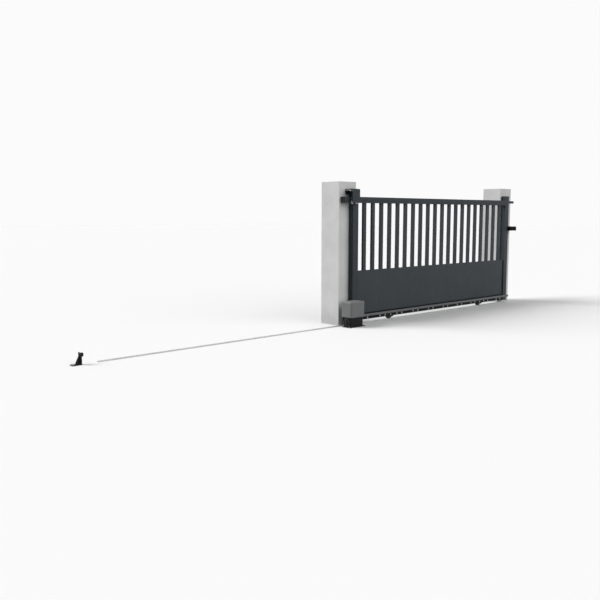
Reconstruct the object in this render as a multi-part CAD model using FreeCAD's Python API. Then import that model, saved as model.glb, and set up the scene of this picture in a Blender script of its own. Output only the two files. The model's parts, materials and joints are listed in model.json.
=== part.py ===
import FreeCAD, Part
import math
import os

# Sliding driveway gate between two masonry piers, in millimetres.
# The origin is the middle of the left pier's foot. X runs along the gate towards the right pier,
# Y runs from the garden out to the street, and Z is up. The leaf runs on the garden side and opens towards -X.

# Piers and the passage between them
PASSAGE_WIDTH = 3500.0
PIER_SIDE = 320.0
PIER_HEIGHT = 1880.0

# Leaf frame
LEAF_DEPTH = 73.0
LEAF_STANDOFF = 12.0
LEFT_OVERLAP = 140.0
RIGHT_OVERLAP = 132.0
STILE_WIDTH = 100.0
STILE_FOOT = 40.0
STILE_ABOVE_RAIL = 67.0
CAP_THICKNESS = 4.0
TOP_RAIL_BELOW_PIER = 196.0
TOP_RAIL_HEIGHT = 78.0
MID_RAIL_TOP = 713.0
MID_RAIL_HEIGHT = 40.0
BOTTOM_RAIL_FOOT = 60.0
BOTTOM_RAIL_HEIGHT = 80.0
BOTTOM_RAIL_WALL = 4.0
TOP_TAIL_LENGTH = 156.0
BOTTOM_TAIL_LENGTH = 100.0
SHOE_LENGTH = 95.0

# Infill
BAR_COUNT = 20
BAR_WIDTH = 60.0
BAR_DEPTH = 28.0
PANEL_DEPTH = 23.0
INFILL_BEHIND_FRONT = 29.0

# Guide strip along the top rail
STRIP_HEIGHT = 40.0
STRIP_DEPTH = 5.0
STRIP_BELOW_RAIL_TOP = 27.0
NOSE_LENGTH = 135.0

# Track on the ground
TRACK_FROM_STOP = 155.0
TRACK_RIGHT_REST = 8.0
TRACK_HEIGHT = 13.0
TRACK_BASE_WIDTH = 40.0
TRACK_BASE_HEIGHT = 3.0
TRACK_HEAD_RADIUS = 8.0
TRACK_HOLE_RADIUS = 3.5
TRACK_HOLE_SPREAD = 28.0
TRACK_HOLE_STATIONS = 6
TRACK_HOLE_END = 210.0

# Wheels
WHEEL_ROLL_RADIUS = 56.0
WHEEL_FLANGE_HEIGHT = 5.0
WHEEL_WIDTH = 30.0
AXLE_RADIUS = 7.0
WHEEL_FROM_END = 783.0
CARRIAGE_FOOT = 36.0
CARRIAGE_LENGTH = 150.0
CARRIAGE_SLOPE = 22.0
RUNNING_GAP = 0.3

# Rack and pinion
MODULE = 4.0
PINION_TEETH = 18
PRESSURE_ANGLE = math.radians(20.0)
BACKLASH = 0.6
MESH_GAP = 0.2
RACK_DEPTH = 22.0
RACK_BAR_HEIGHT = 23.0
RACK_ROOT_Z = 101.0
RACK_OVERHANG = 30.0
RACK_SET_BACK = 4.0
LUG_DEPTH = 4.0
LUG_WIDTH = 24.0
LUG_CORNER = 5.0
LUG_BELOW_RACK_TOP = 6.0
LUG_PAIR_SPACING = 110.0
LUG_PAIR_PITCH = 365.0
PINION_WIDTH = 24.0
PINION_BACK_GAP = 5.0
PINION_FROM_LEAF = 100.0
SHAFT_RADIUS = 10.0
SHAFT_SEAT = 15.0

# Motor
MOTOR_GAP = 9.0
MOTOR_DEPTH = 160.0
MOTOR_LENGTH = 260.0
MOTOR_BEHIND_PINION = 129.0
HOUSING_TOP = 130.0
HOUSING_INSET_LEFT = 14.0
HOUSING_INSET_RIGHT = 4.0
HOUSING_INSET_FRONT = 24.0
HOUSING_INSET_BACK = 4.0
HOUSING_CORNER = 24.0
COVER_TOP = 334.0
COVER_OVERHANG = 26.0
COVER_CORNER = 28.0
COVER_EDGE = 20.0
PLATE_THICKNESS = 6.0
PLATE_MARGIN_X = 27.0
PLATE_MARGIN_Y = 14.0
PLATE_HOLE_RADIUS = 6.0
PLATE_HOLE_EDGE = 14.0
BELL_RADIUS = 52.0
BELL_DEPTH = 12.0
KNOB_RADIUS = 30.0
KNOB_DEPTH = 10.0
KNOB_Z = 66.0

# Guide over the top rail
GUIDE_FROM_LEAF = 68.0
GUIDE_LENGTH = 137.0
GUIDE_HEADROOM = 31.0
GUIDE_SHEET = 5.0
GUIDE_BEND = 18.0
GUIDE_FRONT_DROP = 173.0
GUIDE_BACK_DROP = 70.0
ROLLER_RADIUS = 18.0
ROLLER_BELOW_STRIP = 67.0
ROLLER_HEIGHT = 90.0
ROLLER_FROM_END = 17.0
ROLLER_SPACING = 80.0
ROLLER_PLATE_GAP = 9.0
PIN_RADIUS = 5.0
PIN_DROP = 6.0
PAD_HEIGHT = 50.0
PAD_LEAD = 5.0

# Catch on the right pier
CATCH_MOUTH_DEPTH = 20.0
CATCH_BELOW_RAIL_TOP = 492.0
CATCH_HEIGHT = 67.0
CATCH_SIDE_GAP = 7.0
CATCH_END_GAP = 6.0
CATCH_LIP = 38.0
CATCH_PIER_MARGIN = 5.0
CATCH_EDGE = 8.0

# Stop for the open leaf
OPEN_CLEARANCE = 76.0
STOP_GAP = 7.0
STOP_HEIGHT = 119.0
STOP_WIDTH = 60.0
STOP_SHEET = 10.0
STOP_FOOT_LENGTH = 100.0
STOP_FOOT_HEIGHT = 8.0
STOP_HOLE_RADIUS = 5.5
STOP_HOLE_EDGE = 16.0
STOP_RIB_LENGTH = 50.0
BUFFER_RADIUS = 20.0
BUFFER_LENGTH = 22.0
BUFFER_Z = 97.0

# Places that follow from the sizes above
PIER_FACE = -PIER_SIDE / 2
LEFT_JAMB = PIER_SIDE / 2
RIGHT_JAMB = LEFT_JAMB + PASSAGE_WIDTH
RIGHT_PIER_X = RIGHT_JAMB + PIER_SIDE / 2
LEAF_BACK = PIER_FACE - LEAF_STANDOFF
LEAF_FRONT = LEAF_BACK - LEAF_DEPTH
LEAF_MIDDLE = LEAF_BACK - LEAF_DEPTH / 2
INFILL_MIDDLE = LEAF_FRONT + INFILL_BEHIND_FRONT
PANEL_FRONT = INFILL_MIDDLE - PANEL_DEPTH / 2
PANEL_BACK = INFILL_MIDDLE + PANEL_DEPTH / 2
LEAF_LEFT = LEFT_JAMB - LEFT_OVERLAP
LEAF_RIGHT = RIGHT_JAMB + RIGHT_OVERLAP
INNER_LEFT = LEAF_LEFT + STILE_WIDTH
INNER_RIGHT = LEAF_RIGHT - STILE_WIDTH
TOP_TAIL_LEFT = LEAF_LEFT - TOP_TAIL_LENGTH
BOTTOM_TAIL_LEFT = LEAF_LEFT - BOTTOM_TAIL_LENGTH
TOP_RAIL_TOP = PIER_HEIGHT - TOP_RAIL_BELOW_PIER
TOP_RAIL_FOOT = TOP_RAIL_TOP - TOP_RAIL_HEIGHT
STILE_TOP = TOP_RAIL_TOP + STILE_ABOVE_RAIL
STRIP_MIDDLE_Z = TOP_RAIL_TOP - STRIP_BELOW_RAIL_TOP
MID_RAIL_FOOT = MID_RAIL_TOP - MID_RAIL_HEIGHT
BOTTOM_RAIL_TOP = BOTTOM_RAIL_FOOT + BOTTOM_RAIL_HEIGHT
STRIP_FRONT = LEAF_FRONT - STRIP_DEPTH
TRAVEL = PASSAGE_WIDTH + RIGHT_OVERLAP + OPEN_CLEARANCE
STOP_FACE = BOTTOM_TAIL_LEFT - TRAVEL - STOP_GAP
TRACK_RIGHT = LEAF_RIGHT + TRACK_RIGHT_REST
TRACK_LEFT = STOP_FACE + TRACK_FROM_STOP
TRACK_LENGTH = TRACK_RIGHT - TRACK_LEFT
WHEEL_Z = TRACK_HEIGHT + RUNNING_GAP + WHEEL_ROLL_RADIUS
LEFT_WHEEL_X = LEAF_LEFT + WHEEL_FROM_END
RIGHT_WHEEL_X = LEAF_RIGHT - WHEEL_FROM_END
RACK_BACK = LEAF_FRONT - LUG_DEPTH
RACK_FRONT = RACK_BACK - RACK_DEPTH
RACK_LEFT = TOP_TAIL_LEFT + RACK_SET_BACK
RACK_RIGHT = LEAF_RIGHT + RACK_OVERHANG
RACK_TOP = RACK_ROOT_Z + RACK_BAR_HEIGHT
TOOTH_PITCH = math.pi * MODULE
ADDENDUM = MODULE
DEDENDUM = 1.25 * MODULE
PITCH_LINE_Z = RACK_ROOT_Z - DEDENDUM
PINION_PITCH_RADIUS = MODULE * PINION_TEETH / 2
PINION_X = LEAF_LEFT - PINION_FROM_LEAF
PINION_Z = PITCH_LINE_Z - PINION_PITCH_RADIUS - MESH_GAP
PINION_BACK = RACK_BACK - PINION_BACK_GAP
PINION_FRONT = PINION_BACK - PINION_WIDTH
MOTOR_BACK = RACK_FRONT - MOTOR_GAP
MOTOR_FRONT = MOTOR_BACK - MOTOR_DEPTH
COVER_BACK = MOTOR_BACK + COVER_OVERHANG
MOTOR_LEFT = PINION_X - MOTOR_BEHIND_PINION
MOTOR_RIGHT = MOTOR_LEFT + MOTOR_LENGTH
HOUSING_LEFT = MOTOR_LEFT + HOUSING_INSET_LEFT
HOUSING_RIGHT = MOTOR_RIGHT - HOUSING_INSET_RIGHT
HOUSING_FRONT = MOTOR_FRONT + HOUSING_INSET_FRONT
HOUSING_BACK = MOTOR_BACK - HOUSING_INSET_BACK
HOUSING_MIDDLE = (HOUSING_FRONT + HOUSING_BACK) / 2
GUIDE_LEFT = LEAF_LEFT - GUIDE_FROM_LEAF
GUIDE_TOP = STILE_TOP + CAP_THICKNESS + GUIDE_HEADROOM
GUIDE_FRONT_FOOT = GUIDE_TOP - GUIDE_FRONT_DROP
GUIDE_BACK_FOOT = GUIDE_TOP - GUIDE_BACK_DROP
ROLLER_FOOT = STRIP_MIDDLE_Z - ROLLER_BELOW_STRIP
ROLLER_Y = STRIP_FRONT - RUNNING_GAP - ROLLER_RADIUS
GUIDE_FRONT = ROLLER_Y - ROLLER_RADIUS - ROLLER_PLATE_GAP - GUIDE_SHEET
CATCH_FOOT = TOP_RAIL_TOP - CATCH_BELOW_RAIL_TOP
CATCH_INNER = LEAF_RIGHT + CATCH_END_GAP
CATCH_LEFT = CATCH_INNER - CATCH_MOUTH_DEPTH - CATCH_END_GAP
CATCH_RIGHT = RIGHT_PIER_X + PIER_SIDE / 2 - CATCH_PIER_MARGIN


def at(x, y, z):
    return FreeCAD.Vector(x, y, z)


def block(x0, x1, y0, y1, z0, z1):
    return Part.makeBox(x1 - x0, y1 - y0, z1 - z0, at(x0, y0, z0))


def rod_y(radius, x, y0, y1, z):
    return Part.makeCylinder(radius, y1 - y0, at(x, y0, z), at(0, 1, 0))


def rod_z(radius, x, y, z0, z1):
    return Part.makeCylinder(radius, z1 - z0, at(x, y, z0), at(0, 0, 1))


def prism(points, direction):
    outline = Part.makePolygon(points + [points[0]])
    return Part.Face(outline).extrude(direction)


def edges_where(shape, test):
    return [edge for edge in shape.Edges if test(edge)]


def is_vertical(edge):
    ends = [vertex.Point for vertex in edge.Vertexes]
    return len(ends) == 2 and math.hypot(ends[0].x - ends[1].x, ends[0].y - ends[1].y) < 1e-6


def lies_at_height(edge, z):
    return abs(edge.BoundBox.ZMin - z) < 1e-6 and abs(edge.BoundBox.ZMax - z) < 1e-6


def save(name, shape):
    shape.exportStep(os.path.join("parts", name + ".step"))


# Masonry

def pier(x):
    half = PIER_SIDE / 2
    return block(x - half, x + half, -half, half, 0, PIER_HEIGHT)


# Track: a flat base with a half-round running head

def track_hole_stations():
    first = TRACK_LEFT + TRACK_HOLE_END
    step = (TRACK_LENGTH - 2 * TRACK_HOLE_END) / (TRACK_HOLE_STATIONS - 1)
    return [first + index * step for index in range(TRACK_HOLE_STATIONS)]


def ground_track():
    half_base = TRACK_BASE_WIDTH / 2
    half_head = TRACK_HEAD_RADIUS
    head_z = TRACK_HEIGHT - TRACK_HEAD_RADIUS

    def corner(offset, z):
        return at(TRACK_LEFT, LEAF_MIDDLE + offset, z)

    lower = [corner(-half_head, head_z), corner(-half_head, TRACK_BASE_HEIGHT),
             corner(-half_base, TRACK_BASE_HEIGHT), corner(-half_base, 0),
             corner(half_base, 0), corner(half_base, TRACK_BASE_HEIGHT),
             corner(half_head, TRACK_BASE_HEIGHT), corner(half_head, head_z)]
    head = Part.Arc(lower[-1], corner(0, TRACK_HEIGHT), lower[0]).toShape()
    outline = Part.Wire(Part.makePolygon(lower).Edges + [head])
    track = Part.Face(outline).extrude(at(TRACK_LENGTH, 0, 0))
    holes = []
    for x in track_hole_stations():
        for side in (-1, 1):
            y = LEAF_MIDDLE + side * TRACK_HOLE_SPREAD / 2
            holes.append(rod_z(TRACK_HOLE_RADIUS, x, y, 0, TRACK_BASE_HEIGHT))
    return track.cut(holes)


# Leaf frame

def stile(x):
    return block(x, x + STILE_WIDTH, LEAF_FRONT, LEAF_BACK, STILE_FOOT, STILE_TOP)


def stile_cap(x):
    return block(x, x + STILE_WIDTH, LEAF_FRONT, LEAF_BACK, STILE_TOP, STILE_TOP + CAP_THICKNESS)


def rail(foot, top, front, back):
    return block(INNER_LEFT, INNER_RIGHT, front, back, foot, top)


def tail(left, foot, top):
    return block(left + CAP_THICKNESS, LEAF_LEFT, LEAF_FRONT, LEAF_BACK, foot, top)


def tail_cap(left, foot, top):
    return block(left, left + CAP_THICKNESS, LEAF_FRONT, LEAF_BACK, foot, top)


def bottom_rail():
    whole = rail(BOTTOM_RAIL_FOOT, BOTTOM_RAIL_TOP, LEAF_FRONT, LEAF_BACK)
    hollow = block(INNER_LEFT, INNER_RIGHT, LEAF_FRONT + BOTTOM_RAIL_WALL, LEAF_BACK - BOTTOM_RAIL_WALL,
                   BOTTOM_RAIL_FOOT, BOTTOM_RAIL_TOP - BOTTOM_RAIL_WALL)
    axle_holes = [rod_y(AXLE_RADIUS, x, LEAF_FRONT, LEAF_BACK, WHEEL_Z) for x in (LEFT_WHEEL_X, RIGHT_WHEEL_X)]
    return whole.cut([hollow] + axle_holes)


def end_shoe():
    return block(INNER_RIGHT - SHOE_LENGTH, INNER_RIGHT, LEAF_FRONT, LEAF_BACK, STILE_FOOT, BOTTOM_RAIL_FOOT)


def guide_strip():
    half = STRIP_HEIGHT / 2
    return block(TOP_TAIL_LEFT, LEAF_RIGHT + NOSE_LENGTH, STRIP_FRONT, LEAF_FRONT,
                 STRIP_MIDDLE_Z - half, STRIP_MIDDLE_Z + half)


def infill_bars():
    pitch = (INNER_RIGHT - INNER_LEFT - BAR_COUNT * BAR_WIDTH) / (BAR_COUNT + 1) + BAR_WIDTH
    first = INNER_LEFT + pitch - BAR_WIDTH
    bars = []
    for index in range(BAR_COUNT):
        x = first + index * pitch
        bars.append(block(x, x + BAR_WIDTH, INFILL_MIDDLE - BAR_DEPTH / 2, INFILL_MIDDLE + BAR_DEPTH / 2,
                          MID_RAIL_TOP, TOP_RAIL_FOOT))
    return Part.makeCompound(bars)


# Wheels and axles

def wheel(x):
    """A turned wheel with a flange on each side of the track's head."""
    rim = WHEEL_ROLL_RADIUS + WHEEL_FLANGE_HEIGHT
    bore = AXLE_RADIUS + RUNNING_GAP
    half_rim = WHEEL_WIDTH / 2
    half_groove = TRACK_HEAD_RADIUS + RUNNING_GAP
    profile = [(bore, -half_rim), (rim, -half_rim), (rim, -half_groove), (WHEEL_ROLL_RADIUS, -half_groove),
               (WHEEL_ROLL_RADIUS, half_groove), (rim, half_groove), (rim, half_rim), (bore, half_rim)]
    points = [at(x + radius, LEAF_MIDDLE + offset, WHEEL_Z) for radius, offset in profile]
    outline = Part.Face(Part.makePolygon(points + [points[0]]))
    return outline.revolve(at(x, LEAF_MIDDLE, WHEEL_Z), at(0, 1, 0), 360)


def axle(x):
    return rod_y(AXLE_RADIUS, x, LEAF_FRONT, LEAF_BACK, WHEEL_Z)


def wheel_carriage(x):
    """Two side plates that carry the bottom rail's walls down beside the wheel."""
    top = CARRIAGE_LENGTH / 2
    foot = top - CARRIAGE_SLOPE
    plates = []
    for y in (LEAF_FRONT, LEAF_BACK - BOTTOM_RAIL_WALL):
        points = [at(x - top, y, BOTTOM_RAIL_FOOT), at(x - foot, y, CARRIAGE_FOOT), at(x + foot, y, CARRIAGE_FOOT),
                  at(x + top, y, BOTTOM_RAIL_FOOT)]
        plates.append(prism(points, at(0, BOTTOM_RAIL_WALL, 0)))
    return Part.makeCompound(plates)


# Rack and pinion, both cut to the same module and pressure angle

def rack_tooth_centres():
    first = math.ceil((RACK_LEFT + TOOTH_PITCH / 2 - PINION_X) / TOOTH_PITCH)
    last = math.floor((RACK_RIGHT - TOOTH_PITCH / 2 - PINION_X) / TOOTH_PITCH)
    return [PINION_X + index * TOOTH_PITCH for index in range(first, last + 1)]


def rack():
    half_thickness = (TOOTH_PITCH / 2 - BACKLASH) / 2
    half_tip = half_thickness - ADDENDUM * math.tan(PRESSURE_ANGLE)
    half_root = half_thickness + DEDENDUM * math.tan(PRESSURE_ANGLE)
    tip_z = PITCH_LINE_Z - ADDENDUM

    def corner(x, z):
        return at(x, RACK_FRONT, z)

    points = [corner(RACK_RIGHT, RACK_TOP), corner(RACK_LEFT, RACK_TOP), corner(RACK_LEFT, RACK_ROOT_Z)]
    for centre in rack_tooth_centres():
        points.append(corner(centre - half_root, RACK_ROOT_Z))
        points.append(corner(centre - half_tip, tip_z))
        points.append(corner(centre + half_tip, tip_z))
        points.append(corner(centre + half_root, RACK_ROOT_Z))
    points.append(corner(RACK_RIGHT, RACK_ROOT_Z))
    return prism(points, at(0, RACK_DEPTH, 0))


def lug_places():
    """Lugs hold the rack in pairs, spaced evenly along the leaf."""
    count = int((LEAF_RIGHT - LEAF_LEFT) // LUG_PAIR_PITCH)
    first = (LEAF_LEFT + LEAF_RIGHT - (count - 1) * LUG_PAIR_PITCH) / 2
    half = LUG_PAIR_SPACING / 2
    return [first + index * LUG_PAIR_PITCH + side * half for index in range(count) for side in (-1, 1)]


def rack_spacers():
    """Flat lugs between leaf and rack, whose feet show below the teeth."""
    half = LUG_WIDTH / 2
    top = RACK_TOP - LUG_BELOW_RACK_TOP
    foot = BOTTOM_RAIL_FOOT
    shoulder = foot + LUG_CORNER
    toe = half - LUG_CORNER
    lugs = []
    for x in lug_places():
        points = [at(x - half, RACK_BACK, top), at(x - half, RACK_BACK, shoulder), at(x - toe, RACK_BACK, foot),
                  at(x + toe, RACK_BACK, foot), at(x + half, RACK_BACK, shoulder), at(x + half, RACK_BACK, top)]
        lugs.append(prism(points, at(0, LUG_DEPTH, 0)))
    return Part.makeCompound(lugs)


def involute(angle):
    return math.tan(angle) - angle


def half_tooth_angle(radius):
    base_radius = PINION_PITCH_RADIUS * math.cos(PRESSURE_ANGLE)
    at_pitch = (TOOTH_PITCH / 2 - BACKLASH) / (2 * PINION_PITCH_RADIUS)
    slope = math.acos(min(1.0, base_radius / radius))
    return at_pitch + involute(PRESSURE_ANGLE) - involute(slope)


def pinion_outline():
    root = PINION_PITCH_RADIUS - DEDENDUM
    base = PINION_PITCH_RADIUS * math.cos(PRESSURE_ANGLE)
    tip = PINION_PITCH_RADIUS + ADDENDUM
    flank = [base, PINION_PITCH_RADIUS, tip]
    step = 2 * math.pi / PINION_TEETH

    def point(radius, angle):
        return at(PINION_X + radius * math.cos(angle), PINION_FRONT, PINION_Z + radius * math.sin(angle))

    points = []
    for index in range(PINION_TEETH):
        centre = math.pi / 2 + (index + 0.5) * step
        wide = half_tooth_angle(base)
        points.append(point(root, centre - wide))
        points.extend(point(radius, centre - half_tooth_angle(radius)) for radius in flank)
        points.extend(point(radius, centre + half_tooth_angle(radius)) for radius in reversed(flank))
        points.append(point(root, centre + wide))
    return points


def pinion():
    gear = prism(pinion_outline(), at(0, PINION_WIDTH, 0))
    return gear.cut(rod_y(SHAFT_RADIUS, PINION_X, PINION_FRONT, PINION_BACK, PINION_Z))


def drive_shaft():
    return rod_y(SHAFT_RADIUS, PINION_X, HOUSING_BACK - SHAFT_SEAT, PINION_BACK, PINION_Z)


# Motor

def plan(x0, x1, y0, y1, z, radius):
    """Closed outline of a housing seen from above, with rounded corners."""
    cut = radius * (1 - math.sqrt(0.5))
    runs = []
    for x, y, to_x, to_y in ((x0, y0, 1, 1), (x1, y0, -1, 1), (x1, y1, -1, -1), (x0, y1, 1, -1)):
        along_x = at(x + to_x * radius, y, z)
        along_y = at(x, y + to_y * radius, z)
        through = at(x + to_x * cut, y + to_y * cut, z)
        first, last = (along_y, along_x) if to_x == to_y else (along_x, along_y)
        runs.append((first, through, last))
    edges = []
    for index, (first, through, last) in enumerate(runs):
        following = runs[(index + 1) % len(runs)][0]
        edges.append(Part.Arc(first, through, last).toShape())
        edges.append(Part.makeLine(last, following))
    return Part.Wire(edges)


def motor_plate_holes():
    xs = (HOUSING_LEFT - PLATE_MARGIN_X + PLATE_HOLE_EDGE, HOUSING_RIGHT + PLATE_MARGIN_X - PLATE_HOLE_EDGE)
    ys = (HOUSING_FRONT + PLATE_HOLE_EDGE, HOUSING_BACK - PLATE_HOLE_EDGE)
    return [(x, y) for x in xs for y in ys]


def motor_plate():
    plate = block(HOUSING_LEFT - PLATE_MARGIN_X, HOUSING_RIGHT + PLATE_MARGIN_X,
                  HOUSING_FRONT - PLATE_MARGIN_Y, HOUSING_BACK, 0, PLATE_THICKNESS)
    return plate.cut([rod_z(PLATE_HOLE_RADIUS, x, y, 0, PLATE_THICKNESS) for x, y in motor_plate_holes()])


def motor_housing():
    outline = plan(HOUSING_LEFT, HOUSING_RIGHT, HOUSING_FRONT, HOUSING_BACK, PLATE_THICKNESS, HOUSING_CORNER)
    body = Part.Face(outline).extrude(at(0, 0, HOUSING_TOP - PLATE_THICKNESS))
    bore_end = HOUSING_BACK - SHAFT_SEAT - RUNNING_GAP
    bore = rod_y(SHAFT_RADIUS + RUNNING_GAP, PINION_X, bore_end, HOUSING_BACK, PINION_Z)
    return body.cut(bore)


def hood_profile(corners, radius, sweep):
    """An upright outline with two rounded upper corners, swept sideways; corners run round from the lower left."""
    lower_left, lower_right, upper_right, upper_left = corners
    inward = (upper_left - upper_right).normalize() * radius
    down = at(0, 0, -radius)
    slant = (inward + down) * (1 - math.sqrt(0.5))
    right_arc = Part.Arc(upper_right + down, upper_right + slant, upper_right + inward)
    back_slant = (down - inward) * (1 - math.sqrt(0.5))
    left_arc = Part.Arc(upper_left - inward, upper_left + back_slant, upper_left + down)
    edges = [Part.makeLine(lower_left, lower_right), Part.makeLine(lower_right, upper_right + down),
             right_arc.toShape(), Part.makeLine(upper_right + inward, upper_left - inward), left_arc.toShape(),
             Part.makeLine(upper_left + down, lower_left)]
    return Part.Face(Part.Wire(edges)).extrude(sweep)


def motor_cover():
    outline = plan(MOTOR_LEFT, MOTOR_RIGHT, MOTOR_FRONT, COVER_BACK, HOUSING_TOP, COVER_CORNER)
    body = Part.Face(outline).extrude(at(0, 0, COVER_TOP - HOUSING_TOP))
    front = [at(MOTOR_LEFT, MOTOR_FRONT, HOUSING_TOP), at(MOTOR_RIGHT, MOTOR_FRONT, HOUSING_TOP),
             at(MOTOR_RIGHT, MOTOR_FRONT, COVER_TOP), at(MOTOR_LEFT, MOTOR_FRONT, COVER_TOP)]
    side = [at(MOTOR_LEFT, COVER_BACK, HOUSING_TOP), at(MOTOR_LEFT, MOTOR_FRONT, HOUSING_TOP),
            at(MOTOR_LEFT, MOTOR_FRONT, COVER_TOP), at(MOTOR_LEFT, COVER_BACK, COVER_TOP)]
    along = hood_profile(front, COVER_EDGE, at(0, COVER_BACK - MOTOR_FRONT, 0))
    across = hood_profile(side, COVER_EDGE, at(MOTOR_LENGTH, 0, 0))
    return body.common(along).common(across)


def end_disc(radius, right, depth):
    """A round cap on the housing's left end."""
    return Part.makeCylinder(radius, depth, at(right - depth, HOUSING_MIDDLE, KNOB_Z), at(1, 0, 0))


def motor_bell():
    return end_disc(BELL_RADIUS, HOUSING_LEFT, BELL_DEPTH)


def release_knob():
    return end_disc(KNOB_RADIUS, HOUSING_LEFT - BELL_DEPTH, KNOB_DEPTH)


# Guide over the top rail: a bent sheet with rollers hung from it in front of the leaf,
# and a slide pad on the pier behind it

def front_bend_edges(shape, z):
    """The long edges at one height, in front of the leaf."""
    def is_bend(edge):
        box = edge.BoundBox
        return lies_at_height(edge, z) and box.YMax < LEAF_FRONT and box.XLength > GUIDE_LENGTH / 2

    return edges_where(shape, is_bend)


def guide_bracket():
    def corner(y, z):
        return at(GUIDE_LEFT, y, z)

    points = [corner(GUIDE_FRONT, GUIDE_FRONT_FOOT), corner(GUIDE_FRONT, GUIDE_TOP), corner(PIER_FACE, GUIDE_TOP),
              corner(PIER_FACE, GUIDE_BACK_FOOT), corner(PIER_FACE - GUIDE_SHEET, GUIDE_BACK_FOOT),
              corner(PIER_FACE - GUIDE_SHEET, GUIDE_TOP - GUIDE_SHEET),
              corner(GUIDE_FRONT + GUIDE_SHEET, GUIDE_TOP - GUIDE_SHEET),
              corner(GUIDE_FRONT + GUIDE_SHEET, GUIDE_FRONT_FOOT)]
    sheet = prism(points, at(GUIDE_LENGTH, 0, 0))
    outer = sheet.makeFillet(GUIDE_BEND, front_bend_edges(sheet, GUIDE_TOP))
    return outer.makeFillet(GUIDE_BEND - GUIDE_SHEET, front_bend_edges(outer, GUIDE_TOP - GUIDE_SHEET))


def roller_places():
    first = GUIDE_LEFT + ROLLER_FROM_END
    return {"left": first, "right": first + ROLLER_SPACING}


def guide_roller(x):
    top = ROLLER_FOOT + ROLLER_HEIGHT
    body = rod_z(ROLLER_RADIUS, x, ROLLER_Y, ROLLER_FOOT, top)
    return body.cut(rod_z(PIN_RADIUS + RUNNING_GAP, x, ROLLER_Y, ROLLER_FOOT, top))


def roller_pins():
    pins = []
    for x in roller_places().values():
        pins.append(rod_z(PIN_RADIUS, x, ROLLER_Y, ROLLER_FOOT - PIN_DROP, GUIDE_TOP - GUIDE_SHEET))
    return Part.makeCompound(pins)


def guide_pad():
    right = GUIDE_LEFT + GUIDE_LENGTH
    face = LEAF_BACK + RUNNING_GAP
    foot = STRIP_MIDDLE_Z - PAD_HEIGHT / 2
    points = [at(GUIDE_LEFT, PIER_FACE, foot), at(GUIDE_LEFT, face + PAD_LEAD, foot),
              at(GUIDE_LEFT + PAD_LEAD, face, foot), at(right - PAD_LEAD, face, foot),
              at(right, face + PAD_LEAD, foot), at(right, PIER_FACE, foot)]
    return prism(points, at(0, 0, PAD_HEIGHT))


# Catch on the right pier: a moulded block whose mouth takes the closing stile

def closing_catch():
    mouth_front = LEAF_FRONT - CATCH_SIDE_GAP
    mouth_back = LEAF_BACK + CATCH_SIDE_GAP
    front = mouth_front - CATCH_LIP
    top = CATCH_FOOT + CATCH_HEIGHT
    whole = block(CATCH_LEFT, CATCH_RIGHT, front, PIER_FACE, CATCH_FOOT, top)
    body = whole.cut(block(CATCH_LEFT, CATCH_INNER, mouth_front, mouth_back, CATCH_FOOT, top))
    outer = edges_where(body, lambda edge: is_vertical(edge) and edge.BoundBox.YMax < mouth_front - CATCH_EDGE)
    return body.makeFillet(CATCH_EDGE, outer)


# Stop for the open leaf: an upright on a foot plate, with a round buffer facing the leaf

def stop_holes():
    plate_right = STOP_FACE - BUFFER_LENGTH - STOP_SHEET
    x = plate_right - STOP_FOOT_LENGTH + STOP_SHEET + STOP_HOLE_EDGE
    half = STOP_WIDTH / 2 - STOP_HOLE_EDGE
    return [(x, LEAF_MIDDLE - half), (x, LEAF_MIDDLE + half)]


def open_stop():
    right = STOP_FACE - BUFFER_LENGTH
    left = right - STOP_FOOT_LENGTH
    half = STOP_WIDTH / 2
    foot = block(left, right, LEAF_MIDDLE - half, LEAF_MIDDLE + half, 0, STOP_FOOT_HEIGHT)
    back = right - STOP_SHEET
    upright = block(back, right, LEAF_MIDDLE - half, LEAF_MIDDLE + half, STOP_FOOT_HEIGHT, STOP_HEIGHT)
    rib_front = LEAF_MIDDLE - STOP_SHEET / 2
    rib_points = [at(back, rib_front, STOP_FOOT_HEIGHT), at(back - STOP_RIB_LENGTH, rib_front, STOP_FOOT_HEIGHT),
                  at(back, rib_front, STOP_HEIGHT - STOP_SHEET)]
    rib = prism(rib_points, at(0, STOP_SHEET, 0))
    holes = [rod_z(STOP_HOLE_RADIUS, x, y, 0, STOP_FOOT_HEIGHT) for x, y in stop_holes()]
    return foot.fuse([upright, rib]).removeSplitter().cut(holes)


def stop_buffer():
    left = STOP_FACE - BUFFER_LENGTH
    return Part.makeCylinder(BUFFER_RADIUS, BUFFER_LENGTH, at(left, LEAF_MIDDLE, BUFFER_Z), at(1, 0, 0))


def fixed_pieces():
    pieces = {
        "left_pier": pier(0),
        "right_pier": pier(RIGHT_PIER_X),
        "ground_track": ground_track(),
        "guide_bracket": guide_bracket(),
        "roller_pins": roller_pins(),
        "guide_pad": guide_pad(),
        "closing_catch": closing_catch(),
        "motor_plate": motor_plate(),
        "motor_housing": motor_housing(),
        "motor_cover": motor_cover(),
        "motor_bell": motor_bell(),
        "release_knob": release_knob(),
        "open_stop": open_stop(),
        "stop_buffer": stop_buffer(),
    }
    return pieces


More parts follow.
